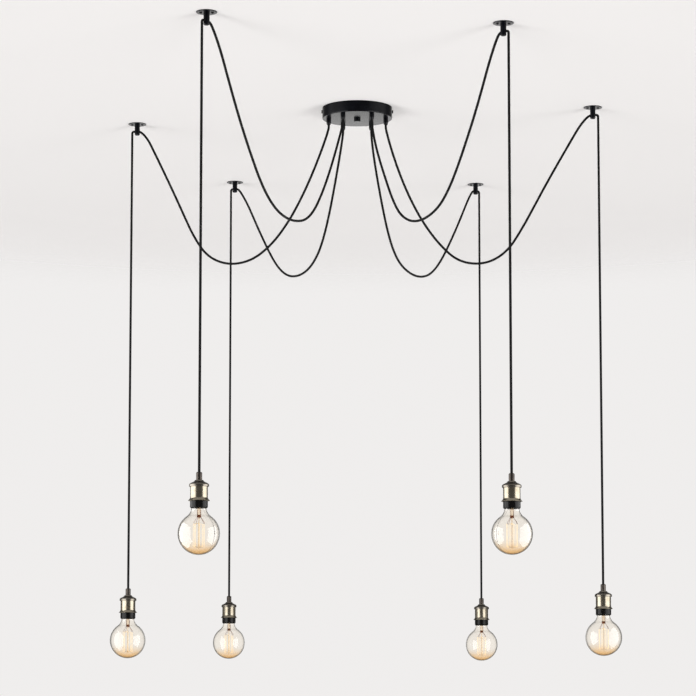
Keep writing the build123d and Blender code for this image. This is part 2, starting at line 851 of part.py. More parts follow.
def make_bulb_filament(pendant):
    # Glass stem with a rod and anchors, and one filament that runs up and down round a cage.
    x, y = drop_place(pendant)
    bulb = pendant["bulb"]
    step = 2 * pi / strand_count
    flare = glass_seat_radius - glass_wall - stem_flare_clearance
    anchor_reach = cage_radius * cos(step / 2) - strand_radius - strand_gap

    def cage_point(strand, radius, level):
        angle = radians(cage_turn) + strand * step
        return (x + radius * cos(angle), y + radius * sin(angle), bulb + level)

    with BuildPart() as stem:
        with BuildSketch(upright(x, y, bulb)):
            with BuildLine():
                Polyline(
                    (0, glass_seat_top),
                    (flare, glass_seat_top),
                    (flare, glass_seat_top - stem_flare_lip),
                    (stem_press_radius, glass_seat_top - stem_flare_length),
                    (stem_press_radius, stem_press_level),
                    (stem_rod_radius, stem_press_level - stem_press_radius),
                    (stem_rod_radius, stem_end_level),
                    (0, stem_end_level),
                    close=True,
                )
            make_face()
        revolve(axis=vertical_axis(x, y))
        for strand in range(strand_count - 1):
            level = cage_bottom_level if strand % 2 == 0 else cage_top_level
            angle = radians(cage_turn) + (strand + 0.5) * step
            with BuildSketch(
                Plane(origin=(x, y, bulb + level), x_dir=(0, 0, 1), z_dir=(cos(angle), sin(angle), 0))
            ):
                Circle(anchor_radius)
            extrude(amount=anchor_reach)
    route = [cage_point(0, stem_press_radius + strand_gap, stem_press_level + stem_press_radius)]
    for strand in range(strand_count):
        ends = [cage_top_level, cage_bottom_level]
        if strand % 2:
            ends.reverse()
        route += [cage_point(strand, cage_radius, level) for level in ends]
    last = strand_count - 1
    route.append(cage_point(last, stem_press_radius + strand_gap, stem_press_level + stem_press_radius))
    start = Vector(*route[1]) - Vector(*route[0])
    with BuildPart() as filament:
        with BuildLine() as wire:
            FilletPolyline(*route, radius=strand_bend_radius)
        with BuildSketch(Plane(origin=route[0], z_dir=start)):
            Circle(strand_radius)
        sweep(path=wire.line)
    return Compound(children=[*stem.part.solids(), *filament.part.solids()])


for number, (pendant, grip_place) in enumerate(zip(pendants, grip_places), 1):
    write(make_swag_cord(pendant, grip_place), f"swag_cord_{number}")
    write(make_cord_bend(pendant), f"cord_bend_{number}")
    write(make_drop_cord(pendant), f"drop_cord_{number}")
    write(make_lampholder_body(pendant), f"lampholder_body_{number}")
    write(make_holder_insert(pendant), f"holder_insert_{number}")
    write(make_bulb_glass(pendant), f"bulb_glass_{number}")
    write(make_bulb_base(pendant), f"bulb_base_{number}")
    write(make_bulb_filament(pendant), f"bulb_filament_{number}")
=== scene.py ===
import bmesh
import bpy
import math
import numpy as np
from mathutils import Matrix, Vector


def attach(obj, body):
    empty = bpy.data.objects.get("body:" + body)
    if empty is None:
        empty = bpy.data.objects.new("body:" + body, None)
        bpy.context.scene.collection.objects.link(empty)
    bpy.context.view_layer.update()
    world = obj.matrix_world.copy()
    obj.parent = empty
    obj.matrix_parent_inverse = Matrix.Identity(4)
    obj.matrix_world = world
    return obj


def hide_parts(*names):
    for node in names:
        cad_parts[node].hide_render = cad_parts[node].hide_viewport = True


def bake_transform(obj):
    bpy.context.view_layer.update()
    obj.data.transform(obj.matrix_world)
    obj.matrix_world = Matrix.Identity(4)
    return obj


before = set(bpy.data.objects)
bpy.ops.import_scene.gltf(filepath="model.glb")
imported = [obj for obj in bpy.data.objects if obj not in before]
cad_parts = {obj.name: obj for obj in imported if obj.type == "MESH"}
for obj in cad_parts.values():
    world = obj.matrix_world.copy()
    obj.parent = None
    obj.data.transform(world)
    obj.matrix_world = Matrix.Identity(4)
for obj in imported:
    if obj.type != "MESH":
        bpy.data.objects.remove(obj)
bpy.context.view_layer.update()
mm = 0.001

# hook place, bearing of its hole, bearing of the grip, lowest level of the bulb, length of the swag in metres,
# and points of the swag as way along the ground and level; the rest in millimetres and degrees
pendantLayout = [
    {"hook": (-346, -962), "bearing": 225, "grip": 240, "bulb": -1234, "swagLength": 1.260, "swag": [
        (33, -105), (78, -168), (124, -226), (172, -279), (226, -328), (287, -362),
        (356, -378), (426, -383), (496, -376), (563, -353), (622, -317), (675, -273),
        (727, -227), (776, -178), (823, -127), (869, -75), (911, -38.5)]},
    {"hook": (333, -866), "bearing": 325, "grip": 300, "bulb": -1228, "swagLength": 1.179, "swag": [
        (22, -109), (60, -168), (103, -225), (147, -281), (199, -330), (264, -360),
        (334, -373), (404, -372), (473, -359), (535, -327), (590, -283), (641, -235),
        (690, -186), (736, -134), (780, -80), (818, -41)]},
    {"hook": (-594, 191), "bearing": 166, "grip": 180, "bulb": -1439, "swagLength": 0.997, "swag": [
        (19, -109), (46, -173), (77, -236), (114, -298), (160, -354), (217, -394),
        (284, -402), (345, -376), (386, -318), (417, -253), (448, -189), (480, -125),
        (508, -70), (522, -44)]},
    {"hook": (619, -9), "bearing": 0, "grip": 0, "bulb": -1437, "swagLength": 1.015, "swag": [
        (15, -113), (37, -179), (64, -244), (97, -306), (139, -364), (190, -411),
        (258, -418), (316, -386), (357, -322), (392, -257), (425, -196), (462, -131),
        (494, -76), (510, -49)]},
    {"hook": (-363, 981), "bearing": 148, "grip": 120, "bulb": -1425, "swagLength": 1.281, "swag": [
        (24, -105), (59, -166), (96, -226), (138, -284), (190, -335), (254, -365),
        (323, -377), (393, -376), (462, -365), (527, -342), (589, -308), (646, -267),
        (701, -223), (756, -178), (810, -131), (862, -87), (908, -54), (935, -36)]},
    {"hook": (361, 1012), "bearing": 38, "grip": 60, "bulb": -1430, "swagLength": 1.310, "swag": [
        (18, -107), (52, -167), (90, -225), (133, -283), (184, -332), (247, -362),
        (316, -373), (386, -375), (456, -368), (524, -352), (588, -325), (648, -290),
        (706, -249), (761, -206), (815, -163), (868, -118), (917, -75), (962, -39)]},
]

# camera
cameraSetup = {"place": (-0.0302, -6.8018, -1.5752), "pitch": 6.338, "lens": 136.24, "shift": (0.0032, 0.1)}


def addCamera(setup):
    data = bpy.data.cameras.new("viewCamera")
    data.sensor_width = 36
    data.lens = setup["lens"]
    data.shift_x, data.shift_y = setup["shift"]
    data.clip_end = 100
    cam = bpy.data.objects.new("viewCamera", data)
    cam.location = setup["place"]
    cam.rotation_euler = (math.radians(90 + setup["pitch"]), 0, 0)
    bpy.context.collection.objects.link(cam)
    bpy.context.scene.camera = cam


addCamera(cameraSetup)
bpy.context.scene.view_settings.view_transform = "Standard"


# shader maths
class Field:
    # one socket of a node tree; arithmetic on it adds Math nodes
    def __init__(self, tree, socket):
        self.tree, self.socket = tree, socket

    def put(self, socket, value):
        if isinstance(value, Field):
            self.tree.links.new(value.socket, socket)
        else:
            socket.default_value = value

    def make(self, kind, settings, values, out=0):
        node = self.tree.nodes.new(kind)
        for key, value in settings.items():
            setattr(node, key, value)
        for key, value in values.items():
            self.put(node.inputs[key], value)
        return Field(self.tree, node.outputs[out])

    def math(self, operation, first, second=0.0):
        return self.make("ShaderNodeMath", {"operation": operation}, {0: first, 1: second})

    def __add__(self, other): return self.math("ADD", self, other)
    def __radd__(self, other): return self.math("ADD", other, self)
    def __sub__(self, other): return self.math("SUBTRACT", self, other)
    def __rsub__(self, other): return self.math("SUBTRACT", other, self)
    def __mul__(self, other): return self.math("MULTIPLY", self, other)
    def __rmul__(self, other): return self.math("MULTIPLY", other, self)
    def __pow__(self, other): return self.math("POWER", self, other)

    def sine(self): return self.math("SINE", self)

    def ramp(self, low, high, bottom=0.0, top=1.0):
        return self.make("ShaderNodeMapRange", {"interpolation_type": "SMOOTHSTEP"},
                         {"Value": self, "From Min": low, "From Max": high, "To Min": bottom, "To Max": top})

    def blend(self, first, second):
        # colour between first and second, this value being the factor
        return self.make("ShaderNodeMix", {"data_type": "RGBA"}, {0: self, 6: first, 7: second}, 2)

    def grain(self, scale, detail=3.0, stretch=(1, 1, 1)):
        # noise over this vector, drawn out along an axis by stretch
        spread = self.make("ShaderNodeMapping", {}, {"Vector": self, "Scale": stretch})
        return self.make("ShaderNodeTexNoise", {}, {"Vector": spread, "Scale": scale, "Detail": detail})

    def axes(self):
        split = self.make("ShaderNodeSeparateXYZ", {}, {"Vector": self})
        return [Field(self.tree, s) for s in split.socket.node.outputs]

    def bump(self, strength, distance):
        return self.make("ShaderNodeBump", {}, {"Strength": strength, "Distance": distance, "Height": self})


def startMaterial(name, **constants):
    # constants are Principled sockets, with _ for a space
    material = bpy.data.materials.new(name)
    material.use_nodes = True
    tree = material.node_tree
    shader = tree.nodes["Principled BSDF"]
    for key, value in constants.items():
        shader.inputs[key.replace("_", " ")].default_value = value
    coords = tree.nodes.new("ShaderNodeTexCoord")
    body = Field(tree, coords.outputs["Object"])
    surface = Field(tree, coords.outputs["UV"])
    return material, body, surface


def feed(material, **sockets):
    shader = material.node_tree.nodes["Principled BSDF"]
    for key, value in sockets.items():
        value.put(shader.inputs[key.replace("_", " ")], value)


# finishes
def makeBlackPaint():
    # sprayed gloss black on metal: faint orange peel, a little dust in the gloss
    material, body, _ = startMaterial("glossBlackPaint", IOR=1.25, Coat_Roughness=0.12)
    cloud = body.grain(35, 4)
    peel = body.grain(700, 2)
    feed(material, Base_Color=cloud.ramp(0.3, 0.7).blend((0.0008, 0.001, 0.002, 1), (0.002, 0.0025, 0.0045, 1)),
         Roughness=0.2 + cloud * 0.1 + peel.ramp(0.6, 0.8) * 0.06,
         Coat_Weight=cloud.ramp(0.2, 0.8, 0.0, 0.04), Normal=peel.bump(0.06, 0.0004))
    return material


def makeBlackScrew():
    # blackened steel, worn a little brighter in patches
    material, body, _ = startMaterial("blackenedScrew", Metallic=0.6)
    wear = body.grain(420, 4)
    feed(material, Base_Color=wear.ramp(0.55, 0.75).blend((0.014, 0.014, 0.015, 1), (0.05, 0.048, 0.045, 1)),
         Roughness=0.34 + wear * 0.2, Normal=wear.bump(0.1, 0.0002))
    return material


def makeCordBraid():
    # round braid: two sets of threads cross round the cord, u in turns and v in metres along it
    material, body, surface = startMaterial("blackBraid", Sheen_Weight=0.02, Sheen_Roughness=0.4,
                                            Specular_IOR_Level=0.14)
    threadsRound, threadsAlong = 8, 420
    u, v, _ = surface.axes()
    turn = 2 * math.pi
    right = (u * (threadsRound * turn) + v * (threadsAlong * turn)).sine()
    left = (u * (threadsRound * turn) - v * (threadsAlong * turn)).sine()
    weave = right * left
    fuzz = body.grain(2600, 2)
    shade = (weave * 0.5 + fuzz).ramp(0.1, 1.1)
    feed(material, Base_Color=shade.blend((0.001, 0.001, 0.0011, 1), (0.008, 0.008, 0.0086, 1)),
         Roughness=0.72 + fuzz * 0.2, Normal=(weave + fuzz * 0.5).bump(0.45, 0.0004))
    return material


def makeAntiqueBrass(name, bright, dark, rough):
    # turned brass, toned down: fine lathe rings across v, darker patches in the tone
    material, body, surface = startMaterial(name, Metallic=1.0)
    rings = surface.grain(1.0, 3, (3, 5200, 1))
    tone = body.grain(90, 5)
    feed(material, Base_Color=(tone.ramp(0.35, 0.75) * 0.7 + rings * 0.3).blend(bright, dark),
         Roughness=rough + rings * 0.14 + tone.ramp(0.5, 0.8) * 0.1, Normal=rings.bump(0.12, 0.0001))
    return material


def makeBlackInsert():
    # moulded black thermoset, glossy with faint flow marks
    material, body, _ = startMaterial("mouldedBlack", IOR=1.24)
    flow = body.grain(120, 4, (1, 1, 0.3))
    feed(material, Base_Color=flow.ramp(0.4, 0.7).blend((0.002, 0.002, 0.002, 1), (0.006, 0.005, 0.005, 1)),
         Roughness=0.16 + flow * 0.14, Normal=flow.bump(0.05, 0.0002))
    return material


def makeGlobeGlass():
    # clear blown glass with a painted dark outline, standing in for the dark reflections along its edge, and an amber
    # wash low in the globe; v runs up the wall
    material, body, surface = startMaterial("globeGlass", Transmission_Weight=1.0, IOR=1.5)
    _, v, _ = surface.axes()
    cloud = body.grain(40, 3)
    wash = (v + cloud * 0.02).ramp(0.018, 0.075)
    tint = wash.blend((1.0, 0.73, 0.4, 1), (0.995, 0.972, 0.93, 1))
    # painted reflection: the colour turns dark where the wall faces away, drawing the globe's outline
    edge = body.make("ShaderNodeLayerWeight", {}, {"Blend": 0.5}, 1)
    feed(material, Base_Color=edge.ramp(0.5, 0.84).blend(tint, (0.02, 0.02, 0.014, 1)), Roughness=cloud * 0.01)
    return material


def makeStemGlass():
    # thick drawn glass of the stem, its warm colour and faint glow painted in for the lit filament's light
    material, body, _ = startMaterial("stemGlass", Transmission_Weight=0.9, IOR=1.2, Emission_Strength=0.02)
    cloud = body.grain(160, 3)
    # painted light: the warm tint and the glow stand in for light from the filament
    feed(material, Base_Color=cloud.blend((1.0, 0.8, 0.55, 1), (0.98, 0.93, 0.86, 1)),
         Roughness=0.05 + cloud * 0.12, Emission_Color=cloud.blend((1.0, 0.5, 0.14, 1), (1.0, 0.72, 0.34, 1)))
    return material


def makeGlow():
    # carbon filament, lit, hotter in places
    material, body, _ = startMaterial("litFilament", Emission_Strength=1.5, Roughness=0.6)
    heat = body.grain(300, 2)
    feed(material, Base_Color=heat.blend((0.5, 0.3, 0.1, 1), (0.6, 0.42, 0.2, 1)),
         Emission_Color=heat.ramp(0.3, 0.7).blend((1.0, 0.62, 0.18, 1), (1.0, 0.86, 0.46, 1)))
    return material


def makePlainMetal(name, light, dark, rough):
    # rolled and plated metal, brushed along X
    material, body, _ = startMaterial(name, Metallic=1.0)
    brush = body.grain(260, 4, (0.06, 1, 1))
    feed(material, Base_Color=brush.blend(light, dark), Roughness=rough + brush * 0.2,
         Normal=brush.bump(0.1, 0.0002))
    return material


def makePlainPlastic(name, light, dark):
    # moulded plastic, a little uneven in tone
    material, body, _ = startMaterial(name, IOR=1.48)
    cloud = body.grain(240, 4)
    feed(material, Base_Color=cloud.blend(light, dark), Roughness=0.38 + cloud * 0.2,
         Normal=cloud.bump(0.08, 0.0002))
    return material


finish = {
    "paint": makeBlackPaint(),
    "screw": makeBlackScrew(),
    "braid": makeCordBraid(),
    "shell": makeAntiqueBrass("brassShell", (0.265, 0.24, 0.19, 1), (0.2, 0.17, 0.125, 1), 0.16),
    "dome": makeAntiqueBrass("agedBrass", (0.18, 0.163, 0.138, 1), (0.1, 0.09, 0.075, 1), 0.2),
    "collet": makeAntiqueBrass("darkBronze", (0.06, 0.052, 0.045, 1), (0.03, 0.026, 0.024, 1), 0.32),
    "insert": makeBlackInsert(),
    "glass": makeGlobeGlass(),
    "stem": makeStemGlass(),
    "glow": makeGlow(),
    "copper": makePlainMetal("leadCopper", (0.34, 0.13, 0.07, 1), (0.18, 0.07, 0.04, 1), 0.35),
    "support": makePlainMetal("supportWire", (0.55, 0.5, 0.42, 1), (0.4, 0.35, 0.28, 1), 0.3),
    "thread": makeAntiqueBrass("screwShell", (0.72, 0.62, 0.44, 1), (0.55, 0.45, 0.3, 1), 0.24),
    "zinc": makePlainMetal("zincPlate", (0.62, 0.63, 0.64, 1), (0.48, 0.49, 0.5, 1), 0.3),
    "block": makePlainPlastic("paleBlock", (0.8, 0.79, 0.76, 1), (0.72, 0.71, 0.68, 1)),
    "sleeve": makePlainPlastic("wireSleeve", (0.36, 0.2, 0.09, 1), (0.24, 0.13, 0.06, 1)),
}
print("finishes made", len(finish))


# surfaces as whole arrays: a patch is (points, faces, uv of each face corner, finish index)
def gridPatch(points, rowV, index=0, wrap=True):
    # points (rows, columns, 3): one quad between neighbours, u round the columns, v given for each row
    rows, cols = points.shape[:2]
    i, j = np.meshgrid(np.arange(rows - 1), np.arange(cols if wrap else cols - 1), indexing="ij")
    k = (j + 1) % cols
    quads = np.stack([i * cols + j, i * cols + k, (i + 1) * cols + k, (i + 1) * cols + j], -1).reshape(-1, 4)
    u0, u1 = j / cols, (j + 1) / cols
    v0, v1 = rowV[i], rowV[i + 1]
    corners = ((u0, v0), (u1, v0), (u1, v1), (u0, v1))
    uv = np.stack([np.stack(corner, -1) for corner in corners], -2).reshape(-1, 4, 2)
    return points.reshape(-1, 3), quads, uv, index


def runLength(line):
    # distance along a line of points, from its start
    return np.concatenate([[0], np.cumsum(np.linalg.norm(np.diff(line, axis=0), axis=1))])


def turnPatch(profile, place, index=0, segments=72):
    # profile (r, z) in mm carried round the vertical axis at place: x = r cos a, y = r sin a;
    # v is metres along the profile
    a = np.arange(segments) * 2 * np.pi / segments
    r, z = profile[:, :1], profile[:, 1:]
    points = np.stack([place[0] + r * np.cos(a), place[1] + r * np.sin(a), place[2] + z + 0 * a], -1)
    return gridPatch(points * mm, runLength(profile) * mm, index)


def softLine(corners, count=6, closed=False):
    # corners (coordinates..., cut): each corner P becomes the curve (1-t)^2 A + 2t(1-t) P + t^2 B,
    # with A and B one cut away from it
    corners = np.array(corners, float)
    spots, cuts = corners[:, :-1], corners[:, -1]
    t = np.linspace(0, 1, count)[:, None]
    line = []
    for n, (spot, cut) in enumerate(zip(spots, cuts)):
        edge = not closed and n in (0, len(spots) - 1)
        if cut == 0 or edge:
            line.append(spot[None])
            continue
        before, after = spots[n - 1] - spot, spots[(n + 1) % len(spots)] - spot
        start = spot + before / np.linalg.norm(before) * cut
        end = spot + after / np.linalg.norm(after) * cut
        line.append((1 - t) ** 2 * start + 2 * t * (1 - t) * spot + t**2 * end)
    line = np.concatenate(line)
    return np.concatenate([line, line[:1]]) if closed else line


def arcLine(centre, radius, first, last, count):
    # part of a circle, angles in degrees
    a = np.radians(np.linspace(first, last, count))
    return np.stack([centre[0] + radius * np.cos(a), centre[1] + radius * np.sin(a)], -1)


def swayLine(start, end, leave, arrive, count):
    # cubic (2t^3-3t^2+1) A + (t^3-2t^2+t) a + (3t^2-2t^3) B + (t^3-t^2) b from A to B,
    # its directions a and b as long as the span
    t = np.linspace(0, 1, count)[:, None]
    start, end, leave, arrive = (np.array(p, float) for p in (start, end, leave, arrive))
    span = np.linalg.norm(end - start)
    leave, arrive = leave / np.linalg.norm(leave) * span, arrive / np.linalg.norm(arrive) * span
    return ((2 * t**3 - 3 * t**2 + 1) * start + (t**3 - 2 * t**2 + t) * leave
            + (3 * t**2 - 2 * t**3) * end + (t**3 - t**2) * arrive)


def tubePatch(path, radius, index=0, sides=14):
    # circle of the radius carried along path (metres); each ring turns with the path, with the least twist
    path = np.asarray(path, float)
    ahead = np.gradient(path, axis=0)
    ahead /= np.linalg.norm(ahead, axis=1)[:, None]
    across = np.zeros_like(path)
    seed = np.eye(3)[np.argmin(np.abs(ahead[0]))]
    for n, way in enumerate(ahead):
        seed = seed - way * (seed @ way)
        seed = seed / np.linalg.norm(seed)
        across[n] = seed
    up = np.cross(ahead, across)
    a = np.arange(sides) * 2 * np.pi / sides
    ring = np.cos(a)[None, :, None] * across[:, None] + np.sin(a)[None, :, None] * up[:, None]
    body = path[:, None] + radius * ring
    v = runLength(path)
    start, end = np.repeat(path[:1, None], sides, 1), np.repeat(path[-1:, None], sides, 1)
    points = np.concatenate([start, body, end])
    return gridPatch(points, np.concatenate([v[:1], v, v[-1:]]), index)


def prismPatch(outline, low, high, frameAxes, place):
    # flat outline (n, 2) in mm pushed from low to high along the third axis, closed at both ends
    outline = np.asarray(outline, float)
    levels = np.array([low, low, high, high], float)
    size = np.array([0, 1, 1, 0], float)
    local = np.stack([size[:, None] * outline[:, 0], size[:, None] * outline[:, 1],
                      levels[:, None] + 0 * outline[:, 0]], -1)
    return gridPatch((local @ np.asarray(frameAxes, float) + np.asarray(place, float)) * mm, levels * mm)


def meshFrom(name, patches):
    # joins patches, closes seams and poles, and turns faces outwards
    mesh = bpy.data.meshes.new(name)
    offsets = np.cumsum([0] + [len(p[0]) for p in patches])
    points = np.concatenate([p[0] for p in patches])
    faces = np.concatenate([p[1] + o for p, o in zip(patches, offsets)])
    uv = np.concatenate([p[2] for p in patches])
    mesh.from_pydata(points, [], faces.tolist())
    layer = mesh.uv_layers.new(name="UVMap")
    layer.data.foreach_set("uv", uv.reshape(-1).astype(np.float32))
    slots = np.concatenate([np.full(len(p[1]), p[3]) for p in patches])
    mesh.polygons.foreach_set("material_index", slots.astype(np.int32))
    work = bmesh.new()
    work.from_mesh(mesh)
    bmesh.ops.remove_doubles(work, verts=work.verts, dist=2e-7)
    bmesh.ops.recalc_face_normals(work, faces=work.faces)
    if work.calc_volume(signed=True) < 0:
        bmesh.ops.reverse_faces(work, faces=work.faces)
    work.to_mesh(mesh)
    work.free()
    return mesh


def addPiece(name, patches, finishes, body, replaced, cutters=(), sharp=32):
    # body None leaves the piece unattached; each group of cutters is taken away in turn
    piece = bpy.data.objects.new(name, meshFrom(name, patches))
    bpy.context.collection.objects.link(piece)
    for group in cutters:
        tool = bpy.data.objects.new(name + "Cutter", meshFrom(name + "Cutter", group))
        bpy.context.collection.objects.link(tool)
        cut = piece.modifiers.new("cut", "BOOLEAN")
        cut.operation, cut.solver, cut.object = "DIFFERENCE", "EXACT", tool
        bpy.context.view_layer.update()
        done = bpy.data.meshes.new_from_object(piece.evaluated_get(bpy.context.evaluated_depsgraph_get()))
        piece.modifiers.clear()
        piece.data = done
        bpy.data.objects.remove(tool)
    for item in finishes:
        piece.data.materials.append(finish[item])
    piece.data.shade_smooth()
    piece.data.set_sharp_from_angle(angle=math.radians(sharp))
    if body:
        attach(piece, body)
    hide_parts(*replaced)
    return piece


# cords: a NURBS line shaped by the points of its route, with a braided tube along it; millimetres
cordSetup = {"radius": 3.1, "swagTop": -15.5, "gripEnd": -45, "gripCorner": -57, "holeLevel": -20.5, "mouthReach": 10,
             "bendReach": 14, "bendEnd": -32.5, "bendLength": 22.4, "swingLevel": -35.8, "swingZone": 5,
             "footAboveBulb": 157.6, "ringRadius": 75, "endGap": 0.15, "straightReach": 3, "straightDrop": 31,
             "swagSteps": 10, "dropSteps": 24}


def hookPoint(pendant, reach, level):
    a = math.radians(pendant["bearing"])
    return (pendant["hook"][0] + reach * math.cos(a), pendant["hook"][1] + reach * math.sin(a), level)


def gripPlace(pendant):
    a = math.radians(pendant["grip"])
    return cordSetup["ringRadius"] * math.cos(a), cordSetup["ringRadius"] * math.sin(a)


def swagRoute(pendant):
    # down out of the grip, along the swag in its upright plane, and into the post
    c = cordSetup
    gx, gy = gripPlace(pendant)
    mouth = hookPoint(pendant, -c["mouthReach"], c["holeLevel"])
    span = math.hypot(mouth[0] - gx, mouth[1] - gy)
    ux, uy = (mouth[0] - gx) / span, (mouth[1] - gy) / span
    start = [(gx, gy, c["swagTop"]), (gx, gy, c["gripEnd"]), (gx, gy, c["gripCorner"])]
    middle = [(gx + s * ux, gy + s * uy, z) for s, z in pendant["swag"]]
    return start + middle + [mouth, hookPoint(pendant, -c["endGap"], c["holeLevel"])]


def dropRoute(pendant):
    # out of the post, over the bend, and straight down to the lampholder
    c = cordSetup
    reach, foot = c["bendReach"], pendant["bulb"] + c["footAboveBulb"]
    across = [hookPoint(pendant, s, c["holeLevel"]) for s in (c["endGap"], c["straightReach"], reach)]
    levels = (c["bendEnd"], c["bendEnd"] - c["straightDrop"], foot + c["straightDrop"], foot)
    return across + [hookPoint(pendant, reach, level) for level in levels]


def splineLine(name, route, resolution):
    # the points of an order-3 NURBS line with the route's points as its control points
    curve = bpy.data.curves.new(name, "CURVE")
    curve.dimensions = "3D"
    spline = curve.splines.new("NURBS")
    spline.points.add(len(route) - 1)
    spline.points.foreach_set("co", np.array([(x * mm, y * mm, z * mm, 1) for x, y, z in route]).reshape(-1))
    spline.order_u = 3
    spline.use_endpoint_u = True
    spline.resolution_u = resolution
    holder = bpy.data.objects.new(name, curve)
    bpy.context.collection.objects.link(holder)
    bpy.context.view_layer.update()
    mesh = bpy.data.meshes.new_from_object(holder.evaluated_get(bpy.context.evaluated_depsgraph_get()))
    line = np.empty(len(mesh.vertices) * 3)
    mesh.vertices.foreach_get("co", line)
    bpy.data.objects.remove(holder)
    bpy.data.meshes.remove(mesh)
    return line.reshape(-1, 3)


def addCords(number, pendant):
    c = cordSetup
    radius = c["radius"] * mm
    line = splineLine("swagLine", swagRoute(pendant), c["swagSteps"])
    swag = addPiece(f"swagCord{number}", [tubePatch(line, radius)], ["braid"], "ceiling_set",
                    [f"swag_cord_{number}"])
    line = splineLine("dropLine", dropRoute(pendant), c["dropSteps"])
    drop = addPiece(f"dropCord{number}", [tubePatch(line, radius)], ["braid"], None,
                    [f"cord_bend_{number}", f"drop_cord_{number}"])
    pivot = np.array(hookPoint(pendant, c["bendReach"], c["swingLevel"])) * mm
    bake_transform(drop)
    length = (c["bendEnd"] - pendant["bulb"] - c["footAboveBulb"] + c["bendLength"]) * mm


for number, pendant in enumerate(pendantLayout, 1):
    addCords(number, pendant)
print("cords laid")

# canopy
canopySetup = {"radius": 92, "height": 29, "wall": 1.5, "edge": 2.6, "rimEdge": 0.4, "innerEdge": 1.2,
               "segments": 220}


def addCanopy(c):
    # cup turned from one closed outline, from its outer pole round the rim to its inner pole
    inner, floor = c["radius"] - c["wall"], c["wall"] - c["height"]
    outline = softLine([(0, -c["height"], 0), (c["radius"], -c["height"], c["edge"]), (c["radius"], 0, c["rimEdge"]),
                        (inner, 0, c["rimEdge"]), (inner, floor, c["innerEdge"]), (0, floor, 0)], 10)
    addPiece("canopyCup", [turnPatch(outline, (0, 0, 0), 0, c["segments"])], ["paint"], "ceiling_set",
             ["canopy_shell"])


capSetup = {"radius": 8.5, "length": 7.5, "edge": 1.3, "stem": 4.8, "stemTop": -24.5, "seat": -29, "segments": 64}


def addCentreCap(c):
    # turned cap with the stem that holds it in the canopy
    low = c["seat"] - c["length"]
    outline = softLine([(0, low, 0), (c["radius"], low, c["edge"]), (c["radius"], c["seat"], 0.3),
                        (c["stem"], c["seat"], 0), (c["stem"], c["stemTop"], 0.4), (0, c["stemTop"], 0)], 8)
    addPiece("centreCap", [turnPatch(outline, (0, 0, 0), 0, c["segments"])], ["paint"], "ceiling_set",
             ["centre_cap"])


gripSetup = {"bore": 3.3, "thread": 4.9, "threadTop": -22.5, "seat": -29, "radius": 6.2, "taperTop": -39.5,
             "end": -45, "tip": 4.7, "slit": 0.9, "slitTop": -38, "slitReach": 8, "slitSpare": 1, "segments": 48}


def addGrips(c):
    # six turned bodies; the slits are cut across their tapered ends
    outline = softLine([(c["bore"], c["threadTop"], 0.2), (c["thread"], c["threadTop"], 0.4),
                        (c["thread"], c["seat"], 0), (c["radius"], c["seat"], 0.4),
                        (c["radius"], c["taperTop"], 0.8), (c["tip"], c["end"], 0.7),
                        (c["bore"], c["end"], 0.3)], 5, True)
    bodies, slits = [], ([], [])
    reach, half = c["slitReach"], c["slit"] / 2
    for pendant in pendantLayout:
        x, y = gripPlace(pendant)
        bodies.append(turnPatch(outline, (x, y, 0), 0, c["segments"]))
        for group, (wide, deep) in zip(slits, ((reach, half), (half, reach))):
            box = [(-wide, -deep), (wide, -deep), (wide, deep), (-wide, deep)]
            group.append(prismPatch(box, c["end"] - c["slitSpare"], c["slitTop"], np.eye(3), (x, y, 0)))
    addPiece("cordGrips", bodies, ["paint"], "ceiling_set", ["cord_grips"], slits)


addCanopy(canopySetup)
addCentreCap(capSetup)
addGrips(gripSetup)
print("canopy made")

# ceiling hooks
hookSetup = {"plate": 24, "plateBore": 3.2, "thick": 2, "edge": 0.8, "post": 7, "postEnd": -31, "tip": 3.4,
             "spigot": 3, "hole": 4.1, "holeLevel": -20.5, "holeReach": 12, "holeSides": 40, "holeTurn": 1.7,
             "clampHole": 2.55, "clampHoleTop": -21, "cutLow": -33, "clamp": 2.4, "clampTop": -23.8,
             "clampEnd": -30.6, "socket": 1.4, "socketDepth": 2.5, "socketTurn": 11,
             "screwAway": 13.5, "head": 3.4, "headHeight": 2.2, "headRise": 1.2, "neck": 2.1,
             "shank": 1.8, "shankTop": 24, "point": 28, "pitch": 1.4, "threadDepth": 0.3,
             "slotWidth": 0.9, "slotDepth": 0.9, "slotReach": 5, "slotSpare": 1, "slotTurn": 25, "slotStep": 50,
             "plateSegments": 96, "postSegments": 64, "screwSegments": 24}


def threadRings(radius, depth, pitch, low, high, place, segments, rows):
    # r = radius - depth + depth e (0.5 + 0.5 cos(a - 2 pi z / pitch)): the ridge climbs one pitch each turn,
    # and e brings it down to nothing at both ends
    a = np.arange(segments) * 2 * np.pi / segments
    z = np.linspace(low, high, int((high - low) / pitch * rows) + 1)[:, None]
    ends = np.clip(np.minimum(z - low, high - z) / (pitch * 0.5), 0, 1)
    r = radius - depth + depth * ends * (0.5 + 0.5 * np.cos(a - 2 * np.pi * z / pitch))
    points = np.stack([place[0] + r * np.cos(a), place[1] + r * np.sin(a), place[2] + z + 0 * a], -1)
    return points, z[:, 0]


